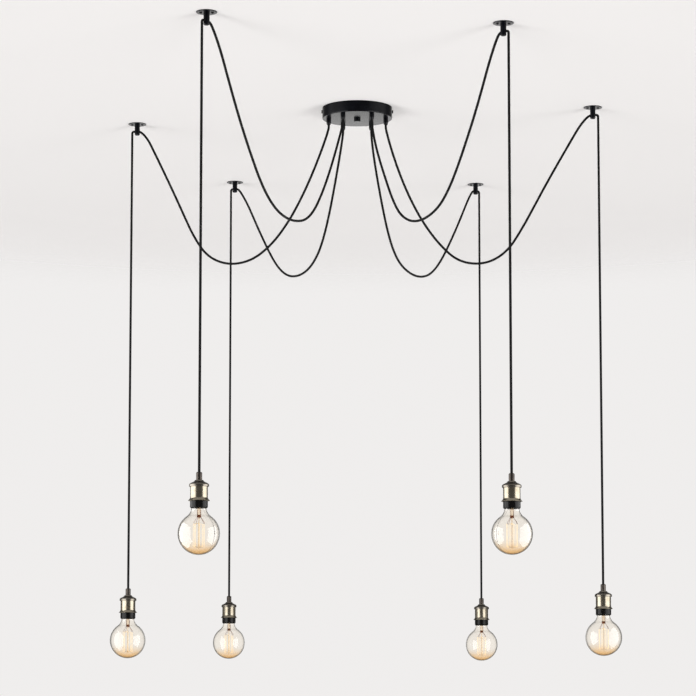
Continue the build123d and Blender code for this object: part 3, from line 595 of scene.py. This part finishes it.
def addHooks(c):
    # turned plates, posts and screws; cross holes, clamp holes, slots and sockets are cut
    plates, posts, screws, clamps = [], [], [], []
    crossCuts, clampCuts, slotCuts, socketCuts = [], [], [], []
    plateLine = softLine([(c["plateBore"], 0, 0), (c["plate"], 0, 0.2), (c["plate"], -c["thick"], c["edge"]),
                          (c["plateBore"], -c["thick"], 0)], 6, True)
    postLine = softLine([(0, c["postEnd"], 0), (c["post"], c["postEnd"], c["tip"]), (c["post"], -c["thick"], 0.2),
                         (c["spigot"], -c["thick"], 0), (c["spigot"], 0, 0.3), (0, 0, 0)], 10)
    low = -c["thick"] - c["headHeight"]
    rise = low + c["headRise"]
    headSide = softLine([(c["head"], rise, 0), (c["head"], -c["thick"], 0.2), (c["neck"], -c["thick"], 0),
                         (c["neck"], 0, 0.1), (c["shank"] - c["threadDepth"], 0, 0)], 4)
    headLine = np.concatenate([swayLine((0, low), (c["head"], rise), (1, 0), (0.25, 1), 10), headSide[1:]])
    clampLine = softLine([(0, c["clampEnd"], 0), (c["clamp"], c["clampEnd"], 0.4),
                          (c["clamp"], c["clampTop"], 0.4), (0, c["clampTop"], 0)], 4)
    # the outlines of the cuts are turned a little so that no edge falls on a seam
    circle = np.radians(np.arange(c["holeSides"]) * 360 / c["holeSides"] + c["holeTurn"])
    hexagon = np.radians(np.arange(6) * 60 + c["socketTurn"])
    hole = c["hole"] * np.stack([np.cos(circle), np.sin(circle)], -1)
    clampHole = hole * c["clampHole"] / c["hole"]
    socket = c["socket"] * np.stack([np.cos(hexagon), np.sin(hexagon)], -1)
    w, d = c["slotReach"], c["slotWidth"] / 2
    slot = [(-w, -d), (w, -d), (w, d), (-w, d)]
    for pendant in pendantLayout:
        x, y = pendant["hook"]
        plates.append(turnPatch(plateLine, (x, y, 0), 0, c["plateSegments"]))
        posts.append(turnPatch(postLine, (x, y, 0), 0, c["postSegments"]))
        clamps.append(turnPatch(clampLine, (x, y, 0), 0, c["screwSegments"]))
        b = math.radians(pendant["bearing"])
        along = [(-math.sin(b), math.cos(b), 0), (0, 0, 1), (math.cos(b), math.sin(b), 0)]
        crossCuts.append(prismPatch(hole, -c["holeReach"], c["holeReach"], along, (x, y, c["holeLevel"])))
        clampCuts.append(prismPatch(clampHole, c["cutLow"], c["clampHoleTop"], np.eye(3), (x, y, 0)))
        socketCuts.append(prismPatch(socket, c["cutLow"], c["clampEnd"] + c["socketDepth"], np.eye(3), (x, y, 0)))
        for side in (-1, 1):
            sx = x + side * c["screwAway"]
            shank, levels = threadRings(c["shank"], c["threadDepth"], c["pitch"], 0, c["shankTop"], (sx, y, 0),
                                        c["screwSegments"], 8)
            ends = np.stack([np.array([[sx, y, c["point"]]]).repeat(c["screwSegments"], 0)])
            screws.append(gridPatch(np.concatenate([shank, ends]) * mm, np.append(levels, c["point"]) * mm))
            screws.append(turnPatch(headLine, (sx, y, 0), 0, c["screwSegments"]))
            turn = math.radians(c["slotTurn"] + c["slotStep"] * side + pendant["bearing"])
            axes = [(math.cos(turn), math.sin(turn), 0), (-math.sin(turn), math.cos(turn), 0), (0, 0, 1)]
            slotCuts.append(prismPatch(slot, low - c["slotSpare"], low + c["slotDepth"], axes, (sx, y, 0)))
    addPiece("hookPlates", plates, ["paint"], "ceiling_set", ["hook_plates"])
    addPiece("hookPosts", posts, ["paint"], "ceiling_set", ["hook_posts"], (crossCuts, clampCuts))
    addPiece("hookScrews", screws, ["screw"], "ceiling_set", ["hook_screws"], (slotCuts,))
    addPiece("clampScrews", clamps, ["screw"], "ceiling_set", ["hook_clamp_screws"], (socketCuts,))


addHooks(hookSetup)
print("hooks made")

# lampholders, levels counted up from the bulb's lowest point
holderSetup = {"bore": 3.3, "collet": 6.8, "colletTop": 184.6, "colletChamfer": 1.6, "colletThread": 4.9,
               "threadEnd": 160.6, "domeTop": 166.6, "domeTopRadius": 9.4, "domeBore": 5.15, "domeWall": 1.2,
               "rim": 22.4, "rimTop": 156.7, "rimLow": 151.7, "rimBore": 20.1,
               "shell": 19.8, "shellWall": 0.8, "shellTop": 156.7, "flare": 24.5, "flareLow": 121, "flareTop": 128.8,
               "contact": 5, "contactStem": 2.6, "stemClearance": 0.3, "contactLow": 141.5, "roof": 142.9,
               "insertTop": 148.9, "collar": 20, "collarLow": 104, "collarTop": 121, "collarChamfer": 2.2,
               "mouth": 17.6, "mouthTop": 112.5, "socket": 13.4, "insert": 18.7, "segments": 96}


def bulbPlace(pendant):
    # the bulb's lowest point, straight under the cord's bend
    return hookPoint(pendant, cordSetup["bendReach"], pendant["bulb"])


def addHolder(number, pendant, c):
    # collet, domed cap, flared shell and centre contact turned about the cord's line
    place, n = bulbPlace(pendant), c["segments"]
    collet = softLine([(c["bore"], c["threadEnd"], 0.2), (c["colletThread"], c["threadEnd"], 0.3),
                       (c["colletThread"], c["domeTop"], 0), (c["collet"], c["domeTop"], 0.4),
                       (c["collet"], c["colletTop"] - c["colletChamfer"], 0.5),
                       (c["collet"] - c["colletChamfer"], c["colletTop"], 0.5), (c["bore"], c["colletTop"], 0.4)],
                      5, True)
    outer = swayLine((c["domeTopRadius"], c["domeTop"]), (c["rim"], c["rimTop"]), (0.45, -1), (0.5, -1), 26)
    inner = swayLine((c["rim"] - c["domeWall"], c["rimTop"]),
                     (c["domeTopRadius"] - c["domeWall"], c["domeTop"] - c["domeWall"]), (-0.5, 1), (-0.45, 1), 26)
    rim = softLine([(c["rim"], c["rimTop"], 0), (c["rim"], c["rimLow"], 1.2), (c["rimBore"], c["rimLow"], 0.5),
                    (c["rimBore"], c["rimTop"], 0), (c["rim"] - c["domeWall"], c["rimTop"], 0)], 7)
    neck = np.array([(c["domeBore"], c["domeTop"] - c["domeWall"]), (c["domeBore"], c["domeTop"]),
                     (c["domeTopRadius"], c["domeTop"])])
    dome = np.concatenate([outer, rim[1:], inner[1:], neck])
    flareOut = swayLine((c["shell"], c["flareTop"]), (c["flare"], c["flareLow"]), (0, -1), (0.9, -1), 18)
    flareIn = swayLine((c["flare"] - c["shellWall"], c["flareLow"]), (c["shell"] - c["shellWall"], c["flareTop"]),
                       (-0.9, 1), (0, 1), 18)
    lip = arcLine((c["flare"] - c["shellWall"] / 2, c["flareLow"]), c["shellWall"] / 2, 0, -180, 9)
    shell = np.concatenate([[(c["shell"], c["shellTop"])], flareOut, lip[1:-1], flareIn,
                            [(c["shell"] - c["shellWall"], c["shellTop"]), (c["shell"], c["shellTop"])]])
    contact = softLine([(0, c["contactLow"], 0), (c["contact"], c["contactLow"], 0.5), (c["contact"], c["roof"], 0.2),
                        (c["contactStem"], c["roof"], 0), (c["contactStem"], c["insertTop"], 0.3),
                        (0, c["insertTop"], 0)], 5)
    patches = [turnPatch(collet, place, 0, 64), turnPatch(dome, place, 1, n), turnPatch(shell, place, 2, n),
               turnPatch(contact, place, 2, 40)]
    addPiece(f"lampholder{number}", patches, ["collet", "dome", "shell"], f"pendant_{number}",
             [f"lampholder_body_{number}"])


def addInsert(number, pendant, c):
    # black collar below the flare, with the socket inside the shell
    place, n = bulbPlace(pendant), c["segments"]
    stem = c["contactStem"] + c["stemClearance"]
    insert = softLine([(c["mouth"], c["collarLow"], 0.5), (c["collar"] - c["collarChamfer"], c["collarLow"], 0.4),
                       (c["collar"], c["collarLow"] + c["collarChamfer"], 0.8), (c["collar"], c["collarTop"], 0.5),
                       (c["insert"], c["collarTop"], 0), (c["insert"], c["insertTop"], 0.5),
                       (stem, c["insertTop"], 0), (stem, c["roof"], 0), (c["socket"], c["roof"], 0),
                       (c["socket"], c["mouthTop"], 0.4), (c["mouth"], c["mouthTop"], 0)], 5, True)
    addPiece(f"holderInsert{number}", [turnPatch(insert, place, 0, n)], ["insert"], f"pendant_{number}",
             [f"holder_insert_{number}"])


# bulbs, levels counted up from the lowest point
bulbSetup = {"globe": 47.5, "shoulder": 25, "neck": 16.6, "seat": 11.3, "seatLevel": 110, "seatTop": 117, "wall": 1.0,
             "base": 13.1, "baseDepth": 0.8, "baseBore": 11.3, "baseLow": 110.6, "baseTop": 135.6, "pitch": 3.6,
             "insulator": 5.4, "insulatorTop": 139.2, "tip": 4.4, "tipTaper": 0.6, "tipTop": 141.2,
             "flare": 10.0, "flareSkirt": 4, "flareDrop": 12, "press": 4.0, "pressLevel": 84, "pressTaper": 4,
             "rod": 1.5, "rodEnd": 14, "cage": 12.5, "cageTop": 70, "cageLow": 18, "cageTurn": 10,
             "strands": 8, "strand": 0.2, "strandBend": 3.4, "anchor": 0.28, "anchorStart": 0.5, "anchorSpare": 0.2,
             "lead": 0.4, "leadRise": 16, "leadAbove": 2.5, "leadBelow": 1, "leadTurns": (0, 2.5, 4.5, 7),
             "bead": 4.5, "beadTop": 4.2, "beadEdgeTop": 4, "beadEdgeLow": 0.5, "beadLow": 0.6,
             "segments": 112, "baseSegments": 64}


def globeLine(c, inset):
    # sphere, hollow shoulder arc tangent to it and to the neck, then in to the seat
    sphere, hollow = c["globe"] - inset, c["shoulder"] + inset
    hx = c["neck"] - inset + hollow
    hy = c["globe"] + math.sqrt((sphere + hollow) ** 2 - hx**2)
    lean = math.degrees(math.atan2(hy - c["globe"], hx))
    return np.concatenate([arcLine((0, c["globe"]), sphere, -90, lean, 64),
                           arcLine((hx, hy), hollow, 180 + lean, 180, 20)[1:],
                           [(c["seat"] - inset, c["seatLevel"]), (c["seat"] - inset, c["seatTop"])]])


def addGlass(number, pendant, c):
    # outer line up, inner line down; v is the way up the wall in metres, the same on both sides
    x, y, low = bulbPlace(pendant)
    wallLine = np.concatenate([globeLine(c, 0), globeLine(c, c["wall"])[::-1]])
    wallLine[[0, -1], 0] = 0
    half = len(wallLine) // 2
    rise = runLength(wallLine)
    rise = np.where(np.arange(len(wallLine)) < half, rise, rise[-1] - rise) * mm
    a = np.arange(c["segments"]) * 2 * np.pi / c["segments"]
    r, z = wallLine[:, :1], wallLine[:, 1:]
    points = np.stack([x + r * np.cos(a), y + r * np.sin(a), low + z + 0 * a], -1)
    addPiece(f"bulbGlass{number}", [gridPatch(points * mm, rise)], ["glass"], f"bulb_{number}",
             [f"bulb_glass_{number}"], sharp=60)


def addBase(number, pendant, c):
    # rolled thread outside, plain bore inside, then the insulator and the tip
    place, n = bulbPlace(pendant), c["baseSegments"]
    ridge, levels = threadRings(c["base"], c["baseDepth"], c["pitch"], c["baseLow"], c["baseTop"], place, n, 12)
    a = np.arange(n) * 2 * np.pi / n
    boreX, boreY = place[0] + c["baseBore"] * np.cos(a), place[1] + c["baseBore"] * np.sin(a)
    bore = np.stack([np.stack([boreX, boreY, place[2] + level + 0 * a], -1)
                     for level in (c["baseTop"], c["baseLow"])])
    ridge = np.concatenate([ridge, bore, ridge[:1]])
    levels = np.concatenate([levels, [c["baseTop"], c["baseLow"], c["baseLow"]]])
    cone = softLine([(0, c["baseTop"], 0), (c["base"] - c["baseDepth"], c["baseTop"], 0.3),
                     (c["insulator"], c["insulatorTop"], 0.5), (0, c["insulatorTop"], 0)], 5)
    tip = softLine([(0, c["insulatorTop"], 0), (c["tip"], c["insulatorTop"], 0.3),
                    (c["tip"] * c["tipTaper"], c["tipTop"], 0.8), (0, c["tipTop"], 0)], 5)
    patches = [gridPatch(ridge * mm, levels * mm), turnPatch(cone, place, 1, 48), turnPatch(tip, place, 0, 32)]
    addPiece(f"bulbBase{number}", patches, ["thread", "insert"], f"bulb_{number}", [f"bulb_base_{number}"])


def addFilament(number, pendant, c):
    # stem with flare, press and rod; the filament zigzags round it between anchors, and leads come down to it
    place = bulbPlace(pendant)
    top, press = c["seatTop"], c["pressLevel"]
    stem = softLine([(0, top, 0), (c["flare"], top, 0.4), (c["flare"], top - c["flareSkirt"], 1.5),
                     (c["press"], top - c["flareDrop"], 2.5), (c["press"], press, 1.2),
                     (c["rod"], press - c["pressTaper"], 1.2), (c["rod"], c["rodEnd"], 1.2), (0, c["rodEnd"], 0)], 8)
    step = 2 * math.pi / c["strands"]

    def cagePoint(angle, radius, level, cut):
        angle += math.radians(c["cageTurn"])
        return (place[0] + radius * math.cos(angle), place[1] + radius * math.sin(angle), place[2] + level, cut)

    route = []
    anchors = []
    for strand in range(c["strands"]):
        ends = (c["cageTop"], c["cageLow"]) if strand % 2 == 0 else (c["cageLow"], c["cageTop"])
        route += [cagePoint(strand * step, c["cage"], level, c["strandBend"]) for level in ends]
        if strand < c["strands"] - 1:
            angle = (strand + 0.5) * step
            inner = cagePoint(angle, c["anchorStart"], ends[1], 0)
            outer = cagePoint(angle, c["cage"] * math.cos(step / 2) + c["anchorSpare"], ends[1], 0)
            anchors.append(tubePatch(np.linspace(inner[:3], outer[:3], 4) * mm, c["anchor"] * mm, 2, 8))
    wire = tubePatch(softLine(route, 7) * mm, c["strand"] * mm, 1, 8)
    for turn in c["leadTurns"]:
        lead = softLine([cagePoint(turn * step, c["press"] + c["lead"], press + c["leadRise"], 0),
                         cagePoint(turn * step, c["press"] + c["lead"], press, 3),
                         cagePoint(turn * step, c["cage"], c["cageTop"] + c["leadAbove"], 2),
                         cagePoint(turn * step, c["cage"], c["cageTop"] - c["leadBelow"], 0)], 6)
        anchors.append(tubePatch(lead * mm, c["lead"] * mm, 3, 10))
    bead = softLine([(0, press + c["beadTop"], 0), (c["bead"], press + c["beadEdgeTop"], 1),
                     (c["bead"], press - c["beadEdgeLow"], 1.5), (0, press - c["beadLow"], 0)], 6)
    anchors.append(turnPatch(bead, place, 3, 40))
    addPiece(f"bulbFilament{number}", [turnPatch(stem, place, 0, 40), wire] + anchors,
             ["stem", "glow", "support", "copper"], f"bulb_{number}", [f"bulb_filament_{number}"])


for number, pendant in enumerate(pendantLayout, 1):
    addHolder(number, pendant, holderSetup)
    addInsert(number, pendant, holderSetup)
    addGlass(number, pendant, bulbSetup)
    addBase(number, pendant, bulbSetup)
    addFilament(number, pendant, bulbSetup)
print("lampholders and bulbs made")

# pieces of the frame that keep their own mesh
keptFinishes = {"mounting_bracket": "zinc", "cord_grip_nuts": "zinc", "terminal_block": "block",
                "inner_leads": "sleeve", "canopy_side_screws": "screw"}
for node, item in keptFinishes.items():
    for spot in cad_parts[node].material_slots:
        spot.material = finish[item]

# stage and light
sheets = {
    # half width and level in metres, start and end of the fade, glow, tone and the side it is seen from
    "ceilingSheet": {"paint": "ceilingPaint", "size": 3.4, "level": 0.0004,
                     "fade": (1.7, 3.2), "glow": 0.25, "tone": 0.75, "fromAbove": False},
    "floorSheet": {"paint": "floorPaint", "size": 9, "level": -4.2,
                   "fade": (3, 8.5), "glow": 0.5, "tone": 0.4, "fromAbove": True},
}
# strengths of the surround in gloss, by the way along Y: in front, at the sides and straight behind
surroundSetup = {"pale": (0.868, 0.853, 0.845, 1), "darkEnd": -0.8, "darkStart": -0.4,
                 "darkLevel": 0.25, "sideStart": 0.1, "sideEnd": 0.4, "sideLevel": 0.15,
                 "backStart": 0.8, "backEnd": 0.95, "ambient": 0.22}


def flatPatch(size, level):
    side = np.array([-size, size], float)
    gx, gy = np.meshgrid(side, side)
    return gridPatch(np.stack([gx, gy, 0 * gx + level], -1), side, 0, False)


def addSheet(name, c):
    # seen from one side only, fading out into the pale surround
    sheet = bpy.data.objects.new(name, meshFrom(name, [flatPatch(c["size"], c["level"])]))
    bpy.context.collection.objects.link(sheet)
    sheet.visible_glossy = False
    if (sheet.data.polygons[0].normal.z > 0) != c["fromAbove"]:
        sheet.data.flip_normals()
    material, body, _ = startMaterial(c["paint"], Roughness=0.9, Specular_IOR_Level=0.0,
                                      Emission_Strength=c["glow"], Emission_Color=surroundSetup["pale"])
    x, y, _ = body.axes()
    away = (x * x + y * y) ** 0.5
    show = away.ramp(*c["fade"], 1, 0) * (1 - body.make("ShaderNodeNewGeometry", {}, {}, "Backfacing"))
    tone = c["tone"]
    feed(material, Alpha=show, Base_Color=body.grain(2, 2).blend((tone, tone * 0.98, tone * 0.97, 1),
                                                                 (tone * 1.01, tone * 0.99, tone * 0.98, 1)))
    sheet.data.materials.append(material)


def addSurround(c):
    # full strength where it is seen directly or through glass, less as light, and in gloss by the way along Y
    world = bpy.data.worlds.new("paleSurround")
    bpy.context.scene.world = world
    world.use_nodes = True
    tree = world.node_tree
    background = tree.nodes["Background"]
    way = Field(tree, tree.nodes.new("ShaderNodeTexCoord").outputs["Generated"])
    _, front, _ = way.axes()
    camera, glossy, through = (way.make("ShaderNodeLightPath", {}, {}, name) for name in
                               ("Is Camera Ray", "Is Glossy Ray", "Is Transmission Ray"))
    seen = way.math("MAXIMUM", camera, through)
    mirrored = front.ramp(c["darkEnd"], c["darkStart"], c["darkLevel"], 1.0)
    mirrored = mirrored * front.ramp(c["sideStart"], c["sideEnd"], 1.0, c["sideLevel"])
    mirrored = mirrored + front.ramp(c["backStart"], c["backEnd"], 0.0, 1 - c["sideLevel"])
    background.inputs["Color"].default_value = c["pale"]
    way.put(background.inputs["Strength"], seen + (1 - seen) * (glossy * mirrored + (1 - glossy) * c["ambient"]))


keyLights = {
    # way of the light, its softness as an angle in degrees and its strength; these throw the shadows
    "leftKey": {"way": (1.0, 1.0, 0.66), "soft": 24, "strength": 1.95},
    "rightKey": {"way": (-1.0, 1.0, 0.66), "soft": 24, "strength": 1.8},
}


def addKeyLight(name, c):
    data = bpy.data.lights.new(name, "SUN")
    data.angle, data.energy = math.radians(c["soft"]), c["strength"]
    lamp = bpy.data.objects.new(name, data)
    bpy.context.collection.objects.link(lamp)
    lamp.visible_camera = lamp.visible_transmission = lamp.visible_glossy = False
    lamp.rotation_mode = "QUATERNION"
    lamp.rotation_quaternion = Vector(c["way"]).to_track_quat("-Z", "Y")


softboxes = {
    # place, aim, width and height in metres and power; these show only in gloss and glass
    "leftCard": {"place": (-1.9, -1.2, -1.6), "aim": (0, -1.2, -1.6), "size": (2.8, 3.2), "power": 125},
    "rightCard": {"place": (1.95, -1.2, -1.6), "aim": (0, -1.2, -1.6), "size": (2.8, 3.2), "power": 115},
    "backCard": {"place": (0, 4.6, -1.2), "aim": (0, 0, -1.2), "size": (4.6, 1.4), "power": 10},
}


def addSoftbox(name, c):
    data = bpy.data.lights.new(name, "AREA")
    data.shape, data.size, data.size_y, data.energy = "RECTANGLE", *c["size"], c["power"]
    lamp = bpy.data.objects.new(name, data)
    bpy.context.collection.objects.link(lamp)
    lamp.location = c["place"]
    lamp.visible_camera = lamp.visible_transmission = lamp.visible_diffuse = False
    lamp.rotation_mode = "QUATERNION"
    lamp.rotation_quaternion = (Vector(c["aim"]) - Vector(c["place"])).to_track_quat("-Z", "Y")


for name, setup in sheets.items():
    addSheet(name, setup)
addSurround(surroundSetup)
for name, setup in keyLights.items():
    addKeyLight(name, setup)
for name, setup in softboxes.items():
    addSoftbox(name, setup)
print("stage set")
